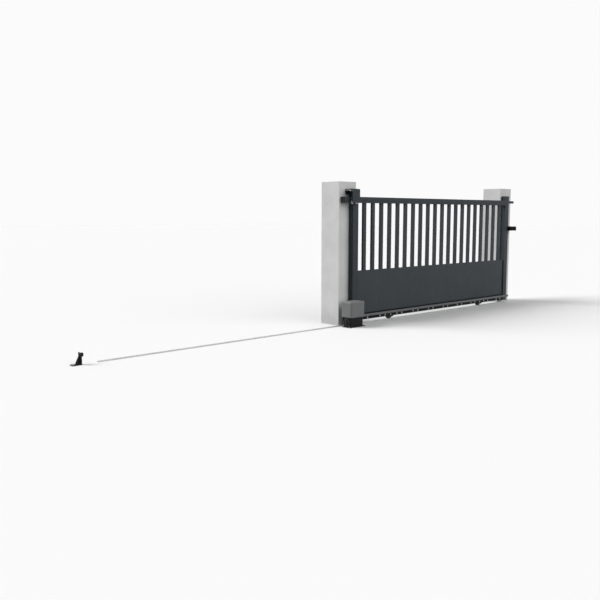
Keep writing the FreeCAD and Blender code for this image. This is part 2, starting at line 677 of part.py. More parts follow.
def leaf_pieces():
    return {
        "left_stile": stile(LEAF_LEFT),
        "right_stile": stile(INNER_RIGHT),
        "left_stile_cap": stile_cap(LEAF_LEFT),
        "right_stile_cap": stile_cap(INNER_RIGHT),
        "top_rail": rail(TOP_RAIL_FOOT, TOP_RAIL_TOP, LEAF_FRONT, LEAF_BACK),
        "top_tail": tail(TOP_TAIL_LEFT, TOP_RAIL_FOOT, TOP_RAIL_TOP),
        "top_tail_cap": tail_cap(TOP_TAIL_LEFT, TOP_RAIL_FOOT, TOP_RAIL_TOP),
        "mid_rail": rail(MID_RAIL_FOOT, MID_RAIL_TOP, PANEL_FRONT, PANEL_BACK),
        "bottom_rail": bottom_rail(),
        "bottom_tail": tail(BOTTOM_TAIL_LEFT, BOTTOM_RAIL_FOOT, BOTTOM_RAIL_TOP),
        "bottom_tail_cap": tail_cap(BOTTOM_TAIL_LEFT, BOTTOM_RAIL_FOOT, BOTTOM_RAIL_TOP),
        "end_shoe": end_shoe(),
        "lower_panel": rail(BOTTOM_RAIL_TOP, MID_RAIL_FOOT, PANEL_FRONT, PANEL_BACK),
        "infill_bars": infill_bars(),
        "guide_strip": guide_strip(),
        "rack": rack(),
        "rack_spacers": rack_spacers(),
        "left_carriage": wheel_carriage(LEFT_WHEEL_X),
        "right_carriage": wheel_carriage(RIGHT_WHEEL_X),
        "left_axle": axle(LEFT_WHEEL_X),
        "right_axle": axle(RIGHT_WHEEL_X),
    }


def turning_pieces():
    pieces = {
        "left_wheel": wheel(LEFT_WHEEL_X),
        "right_wheel": wheel(RIGHT_WHEEL_X),
        "pinion": pinion(),
        "drive_shaft": drive_shaft(),
    }
    for name, x in roller_places().items():
        pieces["guide_roller_" + name] = guide_roller(x)
    return pieces


def main():
    os.makedirs("parts", exist_ok=True)
    for group in (fixed_pieces(), leaf_pieces(), turning_pieces()):
        for name, shape in group.items():
            save(name, shape)


main()
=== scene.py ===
import json
import math

import bmesh
import bpy
from mathutils import Matrix, Vector


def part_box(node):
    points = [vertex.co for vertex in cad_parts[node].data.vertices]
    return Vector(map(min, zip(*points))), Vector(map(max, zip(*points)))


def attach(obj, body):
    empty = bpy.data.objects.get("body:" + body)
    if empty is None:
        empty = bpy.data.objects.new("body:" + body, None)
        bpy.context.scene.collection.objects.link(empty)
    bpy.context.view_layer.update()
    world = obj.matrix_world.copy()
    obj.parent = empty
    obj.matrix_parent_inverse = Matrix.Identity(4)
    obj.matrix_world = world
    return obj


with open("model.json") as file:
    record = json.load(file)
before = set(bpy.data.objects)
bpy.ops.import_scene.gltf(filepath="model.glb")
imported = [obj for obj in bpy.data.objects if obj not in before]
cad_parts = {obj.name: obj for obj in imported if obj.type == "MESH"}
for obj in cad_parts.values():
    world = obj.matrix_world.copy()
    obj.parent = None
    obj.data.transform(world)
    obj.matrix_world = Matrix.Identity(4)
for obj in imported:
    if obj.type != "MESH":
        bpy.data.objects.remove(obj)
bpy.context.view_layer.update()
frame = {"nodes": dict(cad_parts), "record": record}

# Directions and units
UP = (0, 0, 1)
TO_LEFT = (-1, 0, 0)
TO_GARDEN = (0, -1, 0)
TO_STREET = (0, 1, 0)
MILLIMETRES_IN_METRE = 1000

# Camera
CAMERA_PLACE = (-7.013, -6.760, 1.442)
CAMERA_PITCH = 6.624
CAMERA_YAW = 43.033
CAMERA_LENS = 43.68
CAMERA_SENSOR = 36.0
CAMERA_REACH = 500.0

# Light and floor
SKY_STRENGTH = 0.38
SKY_FROM_LEFT = 0.25
SKY_FROM_RIGHT = 1.5
SKY_SPAN = (-1.0, 1.0)
BACKGROUND_WHITE = 0.965
SUN_STRENGTH = 3.2
SUN_ANGLE = 42.0
SUN_FROM = (-0.59, 0.54, 0.60)
FILL_STRENGTH = 1.50
FILL_ANGLE = 70.0
FILL_FROM = (0.12, -0.88, 0.36)
FLOOR_HALF = 90.0
FLOOR_DROP = 0.0005
FLOOR_SEEN = 0.85
FLOOR_BOUNCE = 0.30
FLOOR_ROUGHNESS = 0.95

# Colours
WHITE = (1.0, 1.0, 1.0, 1.0)
ANTHRACITE = (0.037, 0.045, 0.052)
PANEL_COAT = (0.043, 0.052, 0.059)
# Near-black of the bottom rail and its tail: painted shade, standing in for the shade under the rack
BOTTOM_SHADE_BLACK = (0.006, 0.007, 0.008)
RENDER_PALE = (0.68, 0.685, 0.68)
RENDER_GREY = (0.58, 0.585, 0.58)
ZINC_LIGHT = (0.40, 0.41, 0.42)
ZINC_DARK = (0.26, 0.27, 0.28)
RACK_LIGHT = (0.175, 0.18, 0.185)
RACK_DARK = (0.11, 0.115, 0.12)
LUG_LIGHT = (0.34, 0.345, 0.35)
LUG_DARK = (0.26, 0.265, 0.27)
# Wheel zinc darkened far below bare zinc: painted shade, the shade under the leaf
WHEEL_LIGHT = (0.060, 0.062, 0.064)
WHEEL_DARK = (0.040, 0.041, 0.042)
TRACK_LIGHT = (0.62, 0.62, 0.62)
TRACK_DARK = (0.50, 0.505, 0.51)
BLACK_PAINT = (0.007, 0.007, 0.008)
BLACK_MOULDED = (0.012, 0.012, 0.013)
CATCH_BLACK = (0.003, 0.003, 0.0035)
# Lighter grey of the bell's rings and the knob's grip: a painted highlight on the dark bell
RING_HIGHLIGHT_GREY = (0.040, 0.041, 0.043)
GREY_MOULDED = (0.160, 0.164, 0.166)
NYLON = (0.46, 0.465, 0.46)
ROLLER_FOOT = (0.36, 0.365, 0.36)
# Arch paler than the nylon: partly the nylon's own colour, partly a painted highlight against the shade
# near the pier
ARCH_PALE_HIGHLIGHT = (0.60, 0.60, 0.59)
# Black of the guide rollers' upper part: painted shade under the guide bracket
ROLLER_SHADE_BLACK = (0.010, 0.010, 0.010)
RUBBER = (0.011, 0.011, 0.011)
DUST = (0.22, 0.21, 0.195)

# Factors on a colour
COAT_TINTS = (0.92, 1.08)
FOOT_TINTS = (0.88, 1.06)
ROLLER_SHADE_TINTS = (0.8, 1.6)
STREAK_SHADE = 0.80
DAMP_SHADE = 0.55
SPECK_SHADE = 0.72
BLOOM_SHADE = 1.15

# Noise, as scale, detail and roughness
SKIN_DRIFT = (2.3, 6.0, 0.6)
SKIN_PATCHES = (14.0, 5.0, 0.6)
SKIN_GRAIN_FORM = (2.0, 0.5)
COAT_DRIFT = (1.7, 6.0, 0.6)
COAT_MARKS = (1.0, 5.0, 0.6)
COAT_RIM = (6.0, 6.0, 0.62)
COAT_PATCHES = (11.0, 5.0, 0.6)
COAT_PEEL = (420.0, 2.0, 0.5)
COAT_GRAIN = (1900.0, 2.0, 0.5)
MASONRY_CLOUD = (2.6, 8.0, 0.62)
MASONRY_STREAKS = (1.0, 6.0, 0.65)
MASONRY_RIM = (7.0, 6.0, 0.6)
MASONRY_SPECKS = (160.0, 3.0, 0.6)
MASONRY_WAVES = (9.0, 3.0, 0.5)
MASONRY_SAND = (420.0, 4.0, 0.65)
ZINC_BLOOM = (24.0, 6.0, 0.65)
ZINC_GRAIN = (260.0, 3.0, 0.6)
ROLLER_SCUFFS = (1.0, 4.0, 0.6)

# Stretch of noise along X, Y and Z
COAT_MARK_STRETCH = (46.0, 46.0, 1.3)
STREAK_STRETCH = (19.0, 19.0, 0.9)
SCUFF_STRETCH = (30.0, 30.0, 220.0)

# Bands of noise over which a tone or a mark comes in
WHOLE_BAND = (0.0, 1.0)
MIDDLE_BAND = (0.3, 0.7)
COAT_MARK_BAND = (0.48, 0.72)
CLOUD_BAND = (0.28, 0.66)
STREAK_BAND = (0.52, 0.78)
SPECK_BAND = (0.62, 0.74)
BLOOM_BAND = (0.50, 0.72)

# Strongest share of each mark
RAIN_SHARE = 0.05
DUST_SHARE = 0.10
STREAK_SHARE = 0.22
DAMP_SHARE = 0.30
SPECK_SHARE = 0.16
BLOOM_SHARE = 0.35

# Heights that the materials follow, in metres
DUST_BAND = (0.10, 0.30)
DUST_RIM = 0.20
DAMP_BAND = (0.10, 0.34)
DAMP_RIM = 0.22
# Height where the guide rollers turn from pale to black, the edge of their painted shade
ROLLER_SHADE_BAND = (1.6295, 1.6305)

# Bumps, as strength and depth in metres
SKIN_BUMP = 0.35
PEEL_BUMP = (0.25, 0.0003)
GRAIN_BUMP = (0.30, 0.00012)
WAVE_BUMP = (0.25, 0.004)
SAND_BUMP = (0.5, 0.0012)
ZINC_BUMP = (0.2, 0.0003)
SCUFF_BUMP = (0.2, 0.0002)

# Roughness and gloss
SKIN_ROUGHNESS_SPREAD = 0.07
COAT_ROUGHNESS = (0.38, 0.52)
COAT_GLOSS = 0.13
MASONRY_ROUGHNESS = 0.92
MASONRY_GLOSS = 0.15
ZINC_ROUGHNESS = (0.40, 0.60)
ROLLER_ROUGHNESS = (0.42, 0.62)
ROLLER_GLOSS = 0.25

# Skins, as roughness, gloss, grain scale, grain depth in metres and spread of tone
PAINT_SKIN = (0.50, 0.18, 500.0, 0.0002, 0.25)
BLACK_SKIN = (0.55, 0.11, 1400.0, 0.0002, 0.10)
GREY_SKIN = (0.52, 0.25, 1400.0, 0.0002, 0.05)
RING_SKIN = (0.50, 0.20, 1400.0, 0.0002, 0.10)
CATCH_SKIN = (0.62, 0.06, 1400.0, 0.0002, 0.10)
NYLON_SKIN = (0.45, 0.3, 700.0, 0.0001, 0.05)
RUBBER_SKIN = (0.75, 0.12, 800.0, 0.0002, 0.10)
BOTTOM_SKIN = (0.55, 0.10, 420.0, 0.0003, 0.10)

# Zinc coats, as crystals per metre and metallic share
ZINC_FORM = (90.0, 0.7)
RACK_FORM = (70.0, 0.5)
LUG_FORM = (90.0, 0.2)
WHEEL_FORM = (90.0, 0.5)
TRACK_FORM = (60.0, 0.15)

# Edges
EDGE_ROUNDING = {
    "masonry": 0.006,
    "anthracite": 0.002,
    "black_steel": 0.0012,
    "galvanised": 0.0006,
    "black_plastic": 0.002,
    "grey_plastic": 0.0015,
    "nylon": 0.001,
    "rubber": 0.003,
}
ROUNDING_STEPS = 2
SHARP_ANGLE = math.radians(40)
SMOOTH_ANGLE = math.radians(32)

# Fasteners, in metres and in shares of those sizes
BOLT_ACROSS = 0.013
BOLT_HEAD = 0.0052
BOLT_CHAMFER = 0.001
BOLT_TOP_SHARE = 0.86
WASHER_RADIUS = 0.0105
WASHER_HEIGHT = 0.0016
WASHER_PROFILE = ((1.0, 0.0), (1.0, 0.75), (0.95, 1.0))
STUD_RADIUS = 0.004
STUD_ABOVE = 0.0028
STUD_PROFILE = ((1.0, 0.0), (1.0, 0.7), (0.8, 1.0))
SCREW_RADIUS = 0.0055
SCREW_HEIGHT = 0.0016
SCREW_PROFILE = ((1.0, 0.0), (1.0, 0.35), (0.84, 0.8), (0.60, 1.0), (0.42, 1.0), (0.42, 0.3))
AXLE_NUT_ACROSS = 0.024
AXLE_NUT_HEIGHT = 0.0038
AXLE_NUT_EDGE_SHARE = 0.72
AXLE_NUT_TOP_SHARE = 0.87
AXLE_NUT_BORE_SHARE = 0.55
HEX_SIDES = 6
ROUND_SIDES = 28
STRIP_SIDES = 4

# Weld beads
BEAD_SIDES = 10
BEAD_RIPPLE_LENGTH = 0.9
BEAD_RIPPLES_LEAST = 6
BEAD_RIPPLE_STEPS = 3
BEAD_SWELL = 0.13
BEAD_FADE = 6
BEAD_END = 0.35

# Ground fixings
STOP_FOOT_TOP = 0.008
STOP_SHEET = 0.010
STOP_BEAD = 0.0032
STOP_BEAD_BELOW_TOP = 0.022
STOP_BEAD_REACH = 0.045
TRACK_BASE_TOP = 0.003
TRACK_SCREW_SCALE = 0.95

# Running gear and rack
LUG_PAIR_SPACING = 0.110
LUG_PAIR_PITCH = 0.365
LUG_SCREW_RISE = 0.012
RAIL_WALL = 0.004
SEAL_DROP = 0.009
SEAL_BEND = 0.0024
SEAL_SHEET = 0.0016
SEAL_STEPS = 8

# Guide over the top rail
GUIDE_SHEET = 0.005
GUIDE_BOLT_SHARES = (0.30, 0.70)
GUIDE_BOLT_SCALE = 0.9
PIN_SCREW_SCALE = 1.3
ARCH_THICKNESS = 0.010
ARCH_BELOW_SHEET = 0.003
ARCH_WIDTH = 0.018
ARCH_PROUD = 0.008
ARCH_RADIUS = 0.130
ARCH_FROM_BACK = 0.046
ARCH_START = 68
ARCH_STOP = 116
ARCH_STEPS = 16

# Motor
LIP_THICKNESS = 0.004
LIP_INSET = 0.001
LIP_RAISE = 0.001
LIP_HEIGHT = 0.006
PLAN_CORNER = 0.028
CORNER_STEPS = 6
RING_WIDTH = 0.007
RING_HEIGHT = 0.002
RING_SUNK = 0.0005
RING_SHARES = (0.26, 0.82)
GRIP_LENGTH = 0.044
GRIP_WIDTH = 0.013
GRIP_HEIGHT = 0.006
GRIP_TAPER = 0.88
GRIP_STEPS = 12

# Catch
CATCH_LINING = 0.0012
CATCH_GAP = 0.007
CATCH_END_GAP = 0.006
CATCH_MOUTH = 0.004
CATCH_CORNER = 0.002
CATCH_LINING_INSET = 0.006
CATCH_BOLT_SHARES = (0.32, 0.74)


# Material building blocks

def new_material(name):
    material = bpy.data.materials.new(name)
    material.use_nodes = True
    tree = material.node_tree
    return material, tree, tree.nodes["Principled BSDF"]


def object_place(tree):
    return tree.nodes.new("ShaderNodeTexCoord").outputs["Object"]


def stretched(tree, place, scale):
    node = tree.nodes.new("ShaderNodeMapping")
    node.inputs["Scale"].default_value = scale
    tree.links.new(place, node.inputs["Vector"])
    return node.outputs["Vector"]


def noise(tree, place, scale, detail, roughness):
    node = tree.nodes.new("ShaderNodeTexNoise")
    node.inputs["Scale"].default_value = scale
    node.inputs["Detail"].default_value = detail
    node.inputs["Roughness"].default_value = roughness
    tree.links.new(place, node.inputs["Vector"])
    return node.outputs["Fac"]


def ramp(tree, source, band, low, high):
    node = tree.nodes.new("ShaderNodeValToRGB")
    for element, position, color in zip(node.color_ramp.elements, band, (low, high)):
        element.position = position
        element.color = (*color, 1.0)
    tree.links.new(source, node.inputs["Fac"])
    return node.outputs["Color"]


def remap(tree, source, band, low, high):
    node = tree.nodes.new("ShaderNodeMapRange")
    node.interpolation_type = "SMOOTHSTEP"
    node.inputs["From Min"].default_value = band[0]
    node.inputs["From Max"].default_value = band[1]
    node.inputs["To Min"].default_value = low
    node.inputs["To Max"].default_value = high
    tree.links.new(source, node.inputs["Value"])
    return node.outputs["Result"]


def bump(tree, source, strength, distance, normal=None):
    node = tree.nodes.new("ShaderNodeBump")
    node.inputs["Strength"].default_value = strength
    node.inputs["Distance"].default_value = distance
    tree.links.new(source, node.inputs["Height"])
    if normal is not None:
        tree.links.new(normal, node.inputs["Normal"])
    return node.outputs["Normal"]


def blend(tree, factor, first, second):
    """Mixes two colours, each a colour or a socket, by a factor from a socket."""
    node = tree.nodes.new("ShaderNodeMix")
    node.data_type = "RGBA"
    for socket, source in (("Factor", factor), ("A", first), ("B", second)):
        target = next(item for item in node.inputs if item.name == socket and item.enabled)
        if isinstance(source, tuple):
            target.default_value = (*source, 1.0)
        else:
            tree.links.new(source, target)
    return next(item for item in node.outputs if item.enabled)


def arithmetic(tree, operation, first, second):
    node = tree.nodes.new("ShaderNodeMath")
    node.operation = operation
    for index, source in enumerate((first, second)):
        if isinstance(source, float):
            node.inputs[index].default_value = source
        else:
            tree.links.new(source, node.inputs[index])
    return node.outputs["Value"]


def height_of(tree, place):
    node = tree.nodes.new("ShaderNodeSeparateXYZ")
    tree.links.new(place, node.inputs["Vector"])
    return node.outputs["Z"]


def ragged_height(tree, place, form, rim):
    """Height above the ground, raised unevenly so that a mark at the foot has no straight edge."""
    raised = arithmetic(tree, "MULTIPLY", noise(tree, place, *form), rim)
    return arithmetic(tree, "ADD", height_of(tree, place), raised)


def shade(color, factor):
    return tuple(min(1.0, channel * factor) for channel in color)


def tinted(tree, source, color, tints):
    return ramp(tree, source, MIDDLE_BAND, shade(color, tints[0]), shade(color, tints[1]))


# Materials

def coated(name, color, roughness, gloss, grain_scale, grain_depth, spread):
    """A coat of paint or a moulded skin: fine grain, slow colour drift and uneven gloss."""
    material, tree, shader = new_material(name)
    place = object_place(tree)
    tint = tinted(tree, noise(tree, place, *SKIN_DRIFT), color, (1 - spread, 1 + spread))
    tree.links.new(tint, shader.inputs["Base Color"])
    patches = noise(tree, place, *SKIN_PATCHES)
    smooth = roughness - SKIN_ROUGHNESS_SPREAD
    rough = roughness + SKIN_ROUGHNESS_SPREAD
    tree.links.new(remap(tree, patches, MIDDLE_BAND, smooth, rough), shader.inputs["Roughness"])
    grain = noise(tree, place, grain_scale, *SKIN_GRAIN_FORM)
    tree.links.new(bump(tree, grain, SKIN_BUMP, grain_depth), shader.inputs["Normal"])
    shader.inputs["Specular IOR Level"].default_value = gloss
    return material


def powder_coat(name, color):
    """Powder-coated metal: orange-peel skin, faint rain marks and road dust towards the ground."""
    material, tree, shader = new_material(name)
    place = object_place(tree)
    tint = tinted(tree, noise(tree, place, *COAT_DRIFT), color, COAT_TINTS)
    marks = noise(tree, stretched(tree, place, COAT_MARK_STRETCH), *COAT_MARKS)
    rained = blend(tree, remap(tree, marks, COAT_MARK_BAND, 0.0, RAIN_SHARE), tint, DUST)
    level = ragged_height(tree, place, COAT_RIM, DUST_RIM)
    dust = remap(tree, level, DUST_BAND, DUST_SHARE, 0.0)
    tree.links.new(blend(tree, dust, rained, DUST), shader.inputs["Base Color"])
    patches = noise(tree, place, *COAT_PATCHES)
    tree.links.new(remap(tree, patches, MIDDLE_BAND, *COAT_ROUGHNESS), shader.inputs["Roughness"])
    peel = bump(tree, noise(tree, place, *COAT_PEEL), *PEEL_BUMP)
    grain = bump(tree, noise(tree, place, *COAT_GRAIN), *GRAIN_BUMP, peel)
    tree.links.new(grain, shader.inputs["Normal"])
    shader.inputs["Specular IOR Level"].default_value = COAT_GLOSS
    return material


def rendered_masonry(name):
    """Floated render: soft trowel waves, sand grain, cloudy tone, rain streaks and a damp foot."""
    material, tree, shader = new_material(name)
    place = object_place(tree)
    tone = ramp(tree, noise(tree, place, *MASONRY_CLOUD), CLOUD_BAND, RENDER_GREY, RENDER_PALE)
    streaks = noise(tree, stretched(tree, place, STREAK_STRETCH), *MASONRY_STREAKS)
    streak = remap(tree, streaks, STREAK_BAND, 0.0, STREAK_SHARE)
    streaked = blend(tree, streak, tone, shade(RENDER_GREY, STREAK_SHADE))
    level = ragged_height(tree, place, MASONRY_RIM, DAMP_RIM)
    damp = remap(tree, level, DAMP_BAND, DAMP_SHARE, 0.0)
    soiled = blend(tree, damp, streaked, shade(RENDER_GREY, DAMP_SHADE))
    specks = remap(tree, noise(tree, place, *MASONRY_SPECKS), SPECK_BAND, 0.0, SPECK_SHARE)
    speckled = blend(tree, specks, soiled, shade(RENDER_GREY, SPECK_SHADE))
    tree.links.new(speckled, shader.inputs["Base Color"])
    shader.inputs["Roughness"].default_value = MASONRY_ROUGHNESS
    shader.inputs["Specular IOR Level"].default_value = MASONRY_GLOSS
    waves = bump(tree, noise(tree, place, *MASONRY_WAVES), *WAVE_BUMP)
    sand = bump(tree, noise(tree, place, *MASONRY_SAND), *SAND_BUMP, waves)
    tree.links.new(sand, shader.inputs["Normal"])
    return material


def zinc_coated(name, light, dark, spangle, metallic):
    """Hot-dip zinc: crystal spangle in tone and gloss, with dull white bloom."""
    material, tree, shader = new_material(name)
    place = object_place(tree)
    cells = tree.nodes.new("ShaderNodeTexVoronoi")
    cells.inputs["Scale"].default_value = spangle
    tree.links.new(place, cells.inputs["Vector"])
    split = tree.nodes.new("ShaderNodeSeparateColor")
    tree.links.new(cells.outputs["Color"], split.inputs["Color"])
    crystals = ramp(tree, split.outputs["Red"], WHOLE_BAND, dark, light)
    bloom = remap(tree, noise(tree, place, *ZINC_BLOOM), BLOOM_BAND, 0.0, BLOOM_SHARE)
    bloomed = blend(tree, bloom, crystals, shade(light, BLOOM_SHADE))
    tree.links.new(bloomed, shader.inputs["Base Color"])
    gloss = remap(tree, split.outputs["Green"], WHOLE_BAND, *ZINC_ROUGHNESS)
    tree.links.new(gloss, shader.inputs["Roughness"])
    grain = noise(tree, place, *ZINC_GRAIN)
    tree.links.new(bump(tree, grain, *ZINC_BUMP), shader.inputs["Normal"])
    shader.inputs["Metallic"].default_value = metallic
    return material


def roller_with_painted_shade(name):
    """A guide roller with a pale nylon foot below and black above; the black upper part is painted
    shade, the shade under the guide bracket.
    """
    material, tree, shader = new_material(name)
    place = object_place(tree)
    scuffs = noise(tree, stretched(tree, place, SCUFF_STRETCH), *ROLLER_SCUFFS)
    pale = tinted(tree, scuffs, ROLLER_FOOT, FOOT_TINTS)
    dark = tinted(tree, scuffs, ROLLER_SHADE_BLACK, ROLLER_SHADE_TINTS)
    # Above this height the roller is painted black as shade under the bracket
    edge = remap(tree, height_of(tree, place), ROLLER_SHADE_BAND, 0.0, 1.0)
    tree.links.new(blend(tree, edge, pale, dark), shader.inputs["Base Color"])
    tree.links.new(remap(tree, scuffs, MIDDLE_BAND, *ROLLER_ROUGHNESS), shader.inputs["Roughness"])
    tree.links.new(bump(tree, scuffs, *SCUFF_BUMP), shader.inputs["Normal"])
    shader.inputs["Specular IOR Level"].default_value = ROLLER_GLOSS
    return material


SLOTS = {
    "masonry": rendered_masonry("rendered_masonry"),
    "anthracite": powder_coat("anthracite_coat", ANTHRACITE),
    "black_steel": coated("black_steel", BLACK_PAINT, *PAINT_SKIN),
    "galvanised": zinc_coated("galvanised_steel", ZINC_LIGHT, ZINC_DARK, *ZINC_FORM),
    "black_plastic": coated("black_moulded", BLACK_MOULDED, *BLACK_SKIN),
    "grey_plastic": coated("grey_moulded", GREY_MOULDED, *GREY_SKIN),
    "nylon": coated("pale_nylon", NYLON, *NYLON_SKIN),
    "rubber": coated("rubber", RUBBER, *RUBBER_SKIN),
}
PANEL_MATERIAL = powder_coat("panel_coat", PANEL_COAT)
# Darkened zinc for the wheels, painted shade under the leaf
WHEEL_SHADE_MATERIAL = zinc_coated("wheel_zinc_painted_shade", WHEEL_LIGHT, WHEEL_DARK, *WHEEL_FORM)
# The bottom rail and its tail get a near-black coat, painted shade for the shade under the rack
BOTTOM_SHADE_MATERIAL = coated("bottom_rail_painted_shade", BOTTOM_SHADE_BLACK, *BOTTOM_SKIN)
ROLLER_SHADED_MATERIAL = roller_with_painted_shade("roller_painted_shade_and_foot")
# Rings and grip share a lighter grey, a painted highlight
RING_HIGHLIGHT_MATERIAL = coated("bell_ring_painted_highlight", RING_HIGHLIGHT_GREY, *RING_SKIN)
ARCH_HIGHLIGHT_MATERIAL = coated("pale_arch_painted_highlight", ARCH_PALE_HIGHLIGHT, *NYLON_SKIN)
OWN_MATERIALS = {
    "rack": zinc_coated("rack_zinc", RACK_LIGHT, RACK_DARK, *RACK_FORM),
    "rack_spacers": zinc_coated("lug_zinc", LUG_LIGHT, LUG_DARK, *LUG_FORM),
    "ground_track": zinc_coated("track_zinc", TRACK_LIGHT, TRACK_DARK, *TRACK_FORM),
    "closing_catch": coated("catch_moulded", CATCH_BLACK, *CATCH_SKIN),
    "lower_panel": PANEL_MATERIAL,
    "mid_rail": PANEL_MATERIAL,
    "bottom_rail": BOTTOM_SHADE_MATERIAL,
    "bottom_tail": BOTTOM_SHADE_MATERIAL,
    "roller_pins": SLOTS["black_steel"],
    "left_wheel": WHEEL_SHADE_MATERIAL,
    "right_wheel": WHEEL_SHADE_MATERIAL,
    "guide_roller_left": ROLLER_SHADED_MATERIAL,
    "guide_roller_right": ROLLER_SHADED_MATERIAL,
}


def dress_cad_nodes():
    for entry in frame["record"]["subparts"]:
        node = entry["node"]
        slot = entry["material_slot"]
        piece = frame["nodes"][node]
        piece.data.materials.clear()
        piece.data.materials.append(OWN_MATERIALS.get(node, SLOTS[slot]))
        rounding = piece.modifiers.new("edge_rounding", "BEVEL")
        rounding.width = EDGE_ROUNDING[slot]
        rounding.segments = ROUNDING_STEPS
        rounding.limit_method = "ANGLE"
        rounding.angle_limit = SHARP_ANGLE


# Mesh building blocks

def facing(place, direction):
    turn = Vector(UP).rotation_difference(Vector(direction)).to_matrix().to_4x4()
    return Matrix.Translation(Vector(place)) @ turn


def lathe(mesh, profile, sides, place, ring_shape=False):
    """Adds a turned shape about Z: radii and heights from foot to head, closed on itself for a ring."""
    rings = []
    for radius, height in profile:
        ring = []
        for index in range(sides):
            angle = 2 * math.pi * index / sides
            spot = Vector((radius * math.cos(angle), radius * math.sin(angle), height))
            ring.append(mesh.verts.new(place @ spot))
        rings.append(ring)
    pairs = list(zip(rings, rings[1:]))
    if ring_shape:
        pairs.append((rings[-1], rings[0]))
    for lower, upper in pairs:
        for index in range(sides):
            following = (index + 1) % sides
            mesh.faces.new((lower[index], lower[following], upper[following], upper[index]))
    if not ring_shape:
        mesh.faces.new(list(reversed(rings[0])))
        mesh.faces.new(rings[-1])


def ribbon(mesh, path, thickness, sweep, closed=False):
    """Adds a solid strip: a flat path thickened to both sides and swept along a direction."""
    sweep = Vector(sweep)
    points = [Vector(point) for point in path]
    count = len(points)
    stations = []
    for index, point in enumerate(points):
        before = points[index - 1] if closed or index else point
        after = points[(index + 1) % count] if closed or index < count - 1 else point
        across = sweep.cross(after - before).normalized() * thickness / 2
        corners = (point + across, point - across, point - across + sweep, point + across + sweep)
        stations.append([mesh.verts.new(corner) for corner in corners])
    pairs = list(zip(stations, stations[1:]))
    if closed:
        pairs.append((stations[-1], stations[0]))
    for first, second in pairs:
        for index in range(STRIP_SIDES):
            following = (index + 1) % STRIP_SIDES
            mesh.faces.new((first[index], first[following], second[following], second[index]))
    if not closed:
        mesh.faces.new(stations[0])
        mesh.faces.new(list(reversed(stations[-1])))


def frustum(mesh, outline, height, taper, place):
    """Adds a raised boss: an outline in XY that narrows a little towards its top."""
    foot = [mesh.verts.new(place @ Vector((x, y, 0))) for x, y in outline]
    head = [mesh.verts.new(place @ Vector((x * taper, y * taper, height))) for x, y in outline]
    count = len(outline)
    for index in range(count):
        following = (index + 1) % count
        mesh.faces.new((foot[index], foot[following], head[following], head[index]))
    mesh.faces.new(list(reversed(foot)))
    mesh.faces.new(head)


def arc_points(centre_x, centre_y, radius, start, stop, steps):
    """Points of an arc in a plane, with angles in degrees from its first axis towards its second."""
    points = []
    for index in range(steps + 1):
        angle = math.radians(start + (stop - start) * index / steps)
        points.append((centre_x + radius * math.cos(angle), centre_y + radius * math.sin(angle)))
    return points


def sized(profile, radius, height, foot=0):
    """A turned profile in shares of its radius and height, brought to size and set on its foot."""
    return [(radius * across, foot + height * up) for across, up in profile]


def add_hex_bolt(mesh, place, direction, scale=1.0):
    matrix = facing(place, direction) @ Matrix.Scale(scale, 4)
    corner = BOLT_ACROSS / math.sqrt(3)
    top = WASHER_HEIGHT + BOLT_HEAD
    head = [(corner, WASHER_HEIGHT), (corner, top - BOLT_CHAMFER), (corner * BOLT_TOP_SHARE, top)]
    lathe(mesh, sized(WASHER_PROFILE, WASHER_RADIUS, WASHER_HEIGHT), ROUND_SIDES, matrix)
    lathe(mesh, head, HEX_SIDES, matrix)
    lathe(mesh, sized(STUD_PROFILE, STUD_RADIUS, STUD_ABOVE, top), ROUND_SIDES, matrix)


def add_flat_screw(mesh, place, direction, scale=1.0):
    matrix = facing(place, direction) @ Matrix.Scale(scale, 4)
    lathe(mesh, sized(SCREW_PROFILE, SCREW_RADIUS, SCREW_HEIGHT), ROUND_SIDES, matrix)


def add_axle_nut(mesh, place, direction, shaft_radius):
    corner = AXLE_NUT_ACROSS / math.sqrt(3)
    edge = AXLE_NUT_HEIGHT * AXLE_NUT_EDGE_SHARE
    bore = AXLE_NUT_HEIGHT * AXLE_NUT_BORE_SHARE
    nut = [(corner, 0), (corner, edge), (corner * AXLE_NUT_TOP_SHARE, AXLE_NUT_HEIGHT),
           (shaft_radius, AXLE_NUT_HEIGHT), (shaft_radius, bore)]
    lathe(mesh, nut, HEX_SIDES, facing(place, direction))


def add_weld_bead(mesh, start, stop, radius):
    """A rippled bead along a straight joint."""
    start = Vector(start)
    run = Vector(stop) - start
    ripples = max(BEAD_RIPPLES_LEAST, int(run.length / (radius * BEAD_RIPPLE_LENGTH)))
    steps = ripples * BEAD_RIPPLE_STEPS
    profile = []
    for index in range(steps + 1):
        share = index / steps
        swell = 1 + BEAD_SWELL * math.sin(2 * math.pi * ripples * share)
        fade = min(1.0, BEAD_FADE * share + BEAD_END, BEAD_FADE * (1 - share) + BEAD_END)
        profile.append((radius * swell * fade, run.length * share))
    lathe(mesh, profile, BEAD_SIDES, facing(start, run))


def finish_piece(name, mesh, slot, body, material=None):
    data = bpy.data.meshes.new(name)
    bmesh.ops.recalc_face_normals(mesh, faces=mesh.faces)
    mesh.to_mesh(data)
    mesh.free()
    for polygon in data.polygons:
        polygon.use_smooth = True
    data.set_sharp_from_angle(angle=SMOOTH_ANGLE)
    piece = bpy.data.objects.new(name, data)
    bpy.context.scene.collection.objects.link(piece)
    data.materials.append(material or SLOTS[slot])
    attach(piece, body)


# Places read from the frame

def middle(node):
    low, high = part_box(node)
    return [(low[axis] + high[axis]) / 2 for axis in range(3)]


